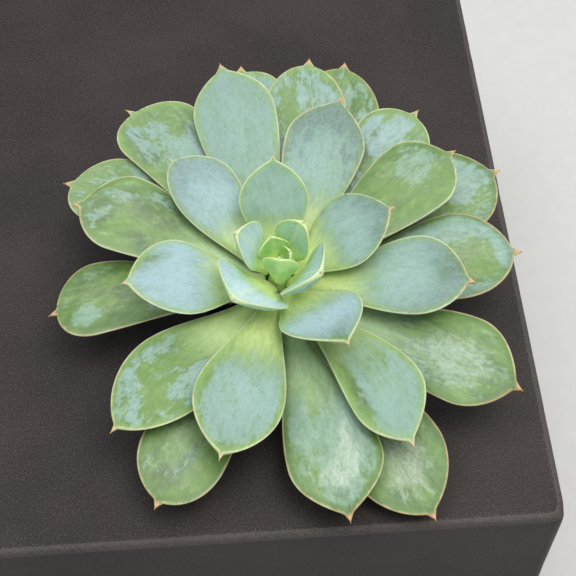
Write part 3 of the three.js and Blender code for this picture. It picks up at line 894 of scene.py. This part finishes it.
# The base, lime and pale tones here and the base tones below are partly painted light: paler than the bases'
# own colour, for light glowing through the flesh.
LEAF_TONES = {
    "deep": "5f7a40", "fresh": "9cb970", "base": "def1b2", "lime": "e3f49c", "pale": "cbe4b6",
    "teal": "92b199", "tan": "e3bd92", "point": "dfa67c", "end": "a55a3c", "scuff": "667a70",
    # The whitish sheen tone is a painted highlight.
    "sheen_highlight": "cdd6c2",
}
INNER_TONES = {
    "powder": "c8dee6", "teal": "aad2b4", "flesh": "a6cb78", "deep": "93ba66", "fresh": "b4d48a",
    "base": "dcf3aa",
}
HEART_TONES = {"flesh": "b6dd88", "deep": "a2cc72", "fresh": "cdeb9c", "base": "d2f096", "teal": "bde2ae"}


def leaf_material(name, leaves, own_tones=None):
    """A leaf's skin in the usual tones, or with its own ones and a painted highlight down the middle of
    young leaves.
    """
    tones = {part: list(getattr(leaves, part)) for part in ("flesh", "powder", "margin")}
    tones.update({part: shade(code) for part, code in {**LEAF_TONES, **(own_tones or {})}.items()})
    return leaf_skin(name, tones, bool(own_tones))


def planter_surface(settings):
    """The block as one closed band of rings: up the drain hole and the pocket, over the chamfer and
    the deck, round the upper edge, down the sides, round the lower edge and back under. Each ring
    lies between a circle round the foot and the block's square outline. Near an edge, by e to the
    minus (gap over wear width) squared, the surface is worn inwards as deep as smooth noise says, and
    the chip has the same bell form."""
    half = PLANTER_SIDE / 2
    rounding = PLANTER_EDGE_ROUNDING
    outline, outward = square_outline(half, PLANTER_CORNER_RADIUS)
    centre = FOOT[:2]
    ray = unit(outline - outward * rounding - centre)
    rings = []
    wear = []

    def level(flat, height):
        return np.concatenate([flat, np.full((len(flat), 1), float(height))], axis=-1)

    def circle(radius, height):
        return level(centre + ray * radius, height)

    def square(inset, height):
        return level(outline - outward * inset, height)

    def add(ring, worn=0.0):
        rings.append(ring)
        wear.append(worn)

    for height in np.linspace(0, POCKET_FLOOR, 5):
        add(circle(DRAIN_RADIUS, height))
    for radius in np.linspace(DRAIN_RADIUS, POCKET_RADIUS, 5)[1:]:
        add(circle(radius, POCKET_FLOOR))
    for height in np.linspace(POCKET_FLOOR, PLANTER_HEIGHT - POCKET_CHAMFER, 12)[1:]:
        add(circle(POCKET_RADIUS, height))
    for step in (0.1, 0.5, 0.9, 1.0):
        add(circle(POCKET_RADIUS + POCKET_CHAMFER * step, PLANTER_HEIGHT - POCKET_CHAMFER * (1 - step)), 0.8)
    lip = circle(POCKET_RADIUS + POCKET_CHAMFER, PLANTER_HEIGHT)
    rim = square(rounding, PLANTER_HEIGHT)
    for step in (0.002, 0.01, *np.linspace(0.03, 0.97, 20), 0.985, 0.995):
        add(lip + (rim - lip) * step)
    for turn in np.linspace(0, math.pi / 2, 9):
        add(square(rounding * (1 - math.sin(turn)), PLANTER_HEIGHT - rounding * (1 - math.cos(turn))), 1.0)
    high = PLANTER_HEIGHT - rounding
    side = high - rounding
    for drop in (0.4, 1.2, 2.5, 4.5, 8.0, *np.linspace(13, side - 8, 14), side - 3, side - 0.6):
        add(square(0.0, high - drop))
    for turn in np.linspace(0, math.pi / 2, 7):
        add(square(rounding * (1 - math.cos(turn)), rounding * (1 - math.sin(turn))), 0.8)
    under = square(rounding, 0.0)
    hole = circle(DRAIN_RADIUS, 0.0)
    for step in (0.01, 0.05, 0.2, 0.4, 0.6, 0.8, 0.95):
        add(under + (hole - under) * step)
    grid = np.stack(rings)
    worn = np.broadcast_to(np.array(wear)[:, None], grid.shape[:2])

    side_gaps = half - np.abs(grid[..., :2])
    top_gap = PLANTER_HEIGHT - grid[..., 2]
    top_edge_gap = np.maximum(side_gaps.min(axis=-1), 0) + np.maximum(top_gap, 0)
    near_top = np.exp(-(top_edge_gap / EDGE_WEAR_WIDTH) ** 2)
    near_upright = np.exp(-(np.linalg.norm(side_gaps, axis=-1) / UPRIGHT_WEAR_WIDTH) ** 2)
    near = np.maximum(near_top, near_upright)
    chips = smooth((layered_noise(grid, 9.0, 11) - 0.35) / 0.6)
    chips = chips + 0.25 * smooth(layered_noise(grid, 2.6, 21) / 0.7)
    chip_gap = np.linalg.norm(grid - CHIP_PLACE, axis=-1)
    worn_depth = settings.wear / MM * near * chips + CHIP_DEPTH * np.exp(-(chip_gap / CHIP_RADIUS) ** 2)
    inwards = unit(np.array([0.0, 0.0, PLANTER_HEIGHT / 2]) - grid)
    return grid + inwards * worn_depth[..., None], {"wear": np.maximum(worn, near)}


class ECHEVERIA_OT_planter(bpy.types.Operator):
    """Make the cast block with its planting pocket and drain hole"""
    bl_idname = "echeveria.planter"
    bl_label = "Planter"

    def execute(self, context):
        settings = context.scene.echeveria.planter
        material = planter_skin(list(settings.tone), list(settings.worn))
        grids = [planter_surface(settings)]
        make_piece("planter_block", material, "planter", grids, ["planter"], closed_along=True)
        return {"FINISHED"}


def soil_surface(rough):
    """A profile turned round the foot: up the outside, over the crumbs and down the stem's hole. The
    top swells and sinks by smooth noise."""
    radius = POCKET_RADIUS - CLEARANCE
    hole = ROOT_RADIUS + CLEARANCE
    floor = POCKET_FLOOR + CLEARANCE
    profile = [(0.5, floor), (radius * 0.5, floor), (radius, floor)]
    profile += [(radius, height) for height in np.linspace(floor, SOIL_TOP - SOIL_EDGE_DROP, 12)[1:]]
    for out in np.linspace(radius, hole, 44)[1:]:
        gap = radius - out
        drop = SOIL_EDGE_DROP * (1 - 2 / 3 * min(gap / 2, 1) - 1 / 3 * min(max((gap - 2) / 4, 0), 1))
        profile.append((out, SOIL_TOP - drop))
    hole_floor = SOIL_TOP - ROOT_DEPTH - CLEARANCE
    profile += [(hole, height) for height in np.linspace(SOIL_TOP, hole_floor, 10)[1:]]
    profile += [(hole * 0.5, hole_floor), (0.5, hole_floor)]
    profile = np.array(profile)
    centre = FOOT * [1, 1, 0] + UP * profile[:, 1:]
    grid = ring_round(centre, UP, RIGHT, profile[:, :1], SOIL_AROUND)
    upper = smooth((grid[..., 2] - SOIL_TOP + 2.2) / 0.8)
    crumbs = layered_noise(grid * [1, 1, 0.3], 2.2, 31)
    grid[..., 2] += upper * rough * (crumbs - 0.3)
    return grid


def stones(count):
    """Ball-like stones from a grid of a few turns, each squashed, turned and half sunk."""
    random = np.random.default_rng(8)
    rise = np.linspace(-1, 1, 5)[1:-1, None] * 0.8
    turn = even_turns(6)
    hole = ROOT_RADIUS + 1.0
    for _ in range(count):
        size = random.uniform(0.35, 1.15)
        away = math.sqrt(random.uniform(hole ** 2, (POCKET_RADIUS - 1.8) ** 2))
        heading = random.uniform(0, 2 * math.pi)
        squash = random.uniform(0.6, 1.1, 3) * size
        radius = np.sqrt(1 - rise ** 2) * random.uniform(0.85, 1.15, (3, 6))
        lift = random.uniform(-0.2, 0.35) * size
        spin = random.uniform(0, math.pi)
        x = radius * np.cos(turn) * squash[0]
        y = radius * np.sin(turn) * squash[1]
        z = rise * 1.2 * squash[2] + 0 * x
        turned = stack(x * math.cos(spin) - y * math.sin(spin), x * math.sin(spin) + y * math.cos(spin), z)
        sunk = SOIL_TOP - PLANTER_HEIGHT - 0.3 + lift
        place = FOOT + [away * math.cos(heading), away * math.sin(heading), sunk]
        yield turned + place, {"pale": random.uniform(0, 1) ** 2}


class ECHEVERIA_OT_soil(bpy.types.Operator):
    """Make the soil plug and the small stones on it"""
    bl_idname = "echeveria.soil"
    bl_label = "Soil and stones"

    def execute(self, context):
        settings = context.scene.echeveria.soil
        surface = soil_surface(settings.roughness / MM)
        make_piece("soil_plug", soil_skin(), "soil", [(surface, {})], ["soil"])
        make_piece("soil_stones", grit_skin(), "soil", stones(settings.stones))
        return {"FINISHED"}


def stem_surface(scar_depth):
    """A tube that is upright in the soil and then follows the rosette's axis, with a crescent dent,
    ringed by a low lip, at each fallen leaf's place on the spiral, and smooth noise as bark."""
    rooted = PLANTER_HEIGHT - SOIL_TOP
    below = [(-rooted - ROOT_DEPTH, ROOT_RADIUS - 0.6), (-rooted - ROOT_DEPTH + 0.6, ROOT_RADIUS)]
    below += [(height, ROOT_RADIUS) for height in (-30, -20, -10, -BEND_HALF_HEIGHT)]
    heights = np.linspace(0, STEM_TAPER[-1][0], STEM_STATIONS)
    taper = np.array([(0, ROOT_RADIUS)] + STEM_TAPER)
    radii = np.concatenate([[pair[1] for pair in below], np.interp(heights, taper[:, 0], taper[:, 1])])
    levels = np.concatenate([[pair[0] for pair in below], heights])[:, None]
    bent = smooth((levels + BEND_HALF_HEIGHT) / (2 * BEND_HALF_HEIGHT))
    axis = unit(UP * (1 - bent) + AXIS * bent)
    centre = FOOT + np.where(levels < 0, UP, AXIS) * levels
    right = unit(RIGHT - axis * axis[:, :1])
    turn = even_turns(STEM_AROUND)
    scar = np.zeros((len(levels), STEM_AROUND))
    lip = np.zeros_like(scar)
    for step in FALLEN_STEPS:
        heading = math.radians(SPIRAL_START - SPIRAL_STEP * step)
        level = FIRST_LEAF_HEIGHT - HEIGHT_PER_STEP * step
        swing = (turn - heading + math.pi) % (2 * math.pi) - math.pi
        across = swing[None] * SCARRED_RADIUS / SCAR_HALF_WIDTH
        high = (levels - level - 0.25 * across ** 2) / SCAR_HALF_HEIGHT
        away = np.hypot(across, high)
        scar = np.maximum(scar, smooth(1.35 - away))
        lip = np.maximum(lip, np.exp(-((away - 1.25) / 0.25) ** 2))
    above = (levels > 0.5) * smooth((31 - levels) / 3)
    points = ring_round(centre, axis, right, radii[:, None], STEM_AROUND)
    bark = layered_noise(points * [1, 1, 0.5], 1.6, 41)
    change = above * (0.1 * bark - 0.1 - scar_depth * scar + 0.12 * lip)
    numbers = {"scar": scar * above, "young": smooth((levels - 20) / 5)}
    return ring_round(centre, axis, right, radii[:, None] + change, STEM_AROUND), numbers


class ECHEVERIA_OT_stem(bpy.types.Operator):
    """Make the short corky stem with the scars of fallen leaves"""
    bl_idname = "echeveria.stem"
    bl_label = "Stem"

    def execute(self, context):
        settings = context.scene.echeveria.stem
        surface = stem_surface(settings.scar_depth / MM)
        make_piece("stem_bark", stem_skin(), "stem", [surface], ["stem"])
        return {"FINISHED"}


class ECHEVERIA_OT_heart(bpy.types.Operator):
    """Make the youngest leaves, closed round the growing tip"""
    bl_idname = "echeveria.heart"
    bl_label = "Heart"

    def execute(self, context):
        leaves = context.scene.echeveria.leaves
        grids = []
        for seed, leaf in enumerate(HEART_LEAVES, 50):
            grid, numbers = leaf_surface({**leaf, "seed": seed}, HEART_STATIONS, HEART_AROUND)
            numbers["edge_mm"] = numbers["edge_mm"] * HEART_MARGIN_FINENESS
            grids.append((grid, numbers))
        profile = np.array(CORE_PROFILE)
        levels = np.linspace(profile[0, 0], profile[-1, 0], 20)
        radii = np.interp(levels, profile[:, 0], profile[:, 1])
        core = ring_round(FOOT + AXIS * levels[:, None], AXIS, SIDEWAYS, radii[:, None], CORE_AROUND)
        grids.append((core, dict(zip(LEAF_NUMBERS, CORE_NUMBERS))))
        material = leaf_material("heart_skin", leaves, HEART_TONES)
        make_piece("heart_leaves", material, "heart", grids, ["heart"])
        return {"FINISHED"}


class ECHEVERIA_OT_leaves(bpy.types.Operator):
    """Make the rosette's leaves, each on its own place of the spiral"""
    bl_idname = "echeveria.leaves"
    bl_label = "Leaves"

    def execute(self, context):
        settings = context.scene.echeveria.leaves
        groups = (
            ("inner_leaf", INNER_LEAVES, INNER_THICKNESS, INNER_TONES),
            ("middle_leaf", MIDDLE_LEAVES, MIDDLE_THICKNESS, None),
            ("outer_leaf", OUTER_LEAVES, OUTER_THICKNESS, None),
        )
        number = 0
        for slot, leaves, thick, own_tones in groups:
            material = leaf_material(slot + "_skin", settings, own_tones)
            for leaf in leaves:
                number += 1
                node = f"leaf_{number:02d}"
                grown = {**leaf, "thick": thick, "seed": number}
                surface = leaf_surface(grown, settings.stations, settings.around)
                make_piece(node + "_skin", material, slot, [surface], [node])
        return {"FINISHED"}


def make_floor(settings):
    """A flat disc under the planter."""
    turn = even_turns(FLOOR_CORNERS)
    drop = np.full(FLOOR_CORNERS, -FLOOR_DROP)
    points = stack(FLOOR_RADIUS * np.cos(turn), FLOOR_RADIUS * np.sin(turn), drop)
    mesh = bpy.data.meshes.new("floor")
    mesh.from_pydata(points.tolist(), [], [list(range(FLOOR_CORNERS))])
    mesh.materials.append(floor_skin(list(settings.floor)))
    floor = bpy.data.objects.new("floor", mesh)
    bpy.context.scene.collection.objects.link(floor)


def make_light(name, place, size, watts, target, colour):
    """A round lamp that faces the target."""
    lamp = bpy.data.lights.new(name, "AREA")
    lamp.shape = "DISK"
    lamp.size = size
    lamp.energy = watts
    lamp.color = colour
    light = bpy.data.objects.new(name, lamp)
    light.location = place
    light.rotation_euler = (target - place).to_track_quat("-Z", "Y").to_euler()
    bpy.context.scene.collection.objects.link(light)


def make_camera(settings):
    """The photograph's camera, which looks back along its elevation and azimuth."""
    lens = bpy.data.cameras.new("camera")
    lens.lens = settings.lens
    lens.sensor_width = SENSOR_WIDTH
    lens.clip_start = 0.01
    camera = bpy.data.objects.new("camera", lens)
    camera.location = CAMERA_PLACE
    flat = math.cos(settings.elevation)
    side = math.sin(settings.azimuth) * flat
    front = -math.cos(settings.azimuth) * flat
    away = Vector((side, front, math.sin(settings.elevation)))
    camera.rotation_euler = (-away).to_track_quat("-Z", "Y").to_euler()
    bpy.context.scene.collection.objects.link(camera)
    bpy.context.scene.camera = camera


class ECHEVERIA_OT_stage(bpy.types.Operator):
    """Make the pale floor, the studio lights and the camera"""
    bl_idname = "echeveria.stage"
    bl_label = "Stage"

    def execute(self, context):
        settings = context.scene.echeveria.stage
        make_floor(settings)
        target = Vector(FOOT * MM) + Vector((0, 0, TARGET_RISE))
        for name, place, size, colour in LIGHTS:
            make_light(name, Vector(place), size, getattr(settings, name), target, colour)
        world = bpy.data.worlds.new("soft_room")
        world.use_nodes = True
        background = world.node_tree.nodes["Background"]
        background.inputs["Color"].default_value = SKY_TINT
        background.inputs["Strength"].default_value = SKY_STRENGTH
        context.scene.world = world
        context.scene.view_settings.view_transform = "Standard"
        make_camera(settings)
        return {"FINISHED"}


class ECHEVERIA_PT_panel(bpy.types.Panel):
    """Lists the pieces of the plant"""
    bl_idname = "ECHEVERIA_PT_panel"
    bl_label = "Potted echeveria"
    bl_space_type = "VIEW_3D"
    bl_region_type = "UI"
    bl_category = "Echeveria"

    def draw(self, context):
        for operator in OPERATORS:
            self.layout.operator(operator.bl_idname)


SETTINGS = (PlanterSettings, SoilSettings, StemSettings, LeafSettings, StageSettings, EcheveriaSettings)
OPERATORS = (
    ECHEVERIA_OT_planter,
    ECHEVERIA_OT_soil,
    ECHEVERIA_OT_stem,
    ECHEVERIA_OT_heart,
    ECHEVERIA_OT_leaves,
    ECHEVERIA_OT_stage,
)


def register():
    for group in (*SETTINGS, *OPERATORS, ECHEVERIA_PT_panel):
        bpy.utils.register_class(group)
    bpy.types.Scene.echeveria = PointerProperty(type=EcheveriaSettings)


def unregister():
    del bpy.types.Scene.echeveria
    for group in reversed((*SETTINGS, *OPERATORS, ECHEVERIA_PT_panel)):
        bpy.utils.unregister_class(group)


def main():
    register()
    bpy.ops.echeveria.planter()
    bpy.ops.echeveria.soil()
    bpy.ops.echeveria.stem()
    bpy.ops.echeveria.heart()
    bpy.ops.echeveria.leaves()
    bpy.ops.echeveria.stage()


if __name__ == "__main__":
    main()
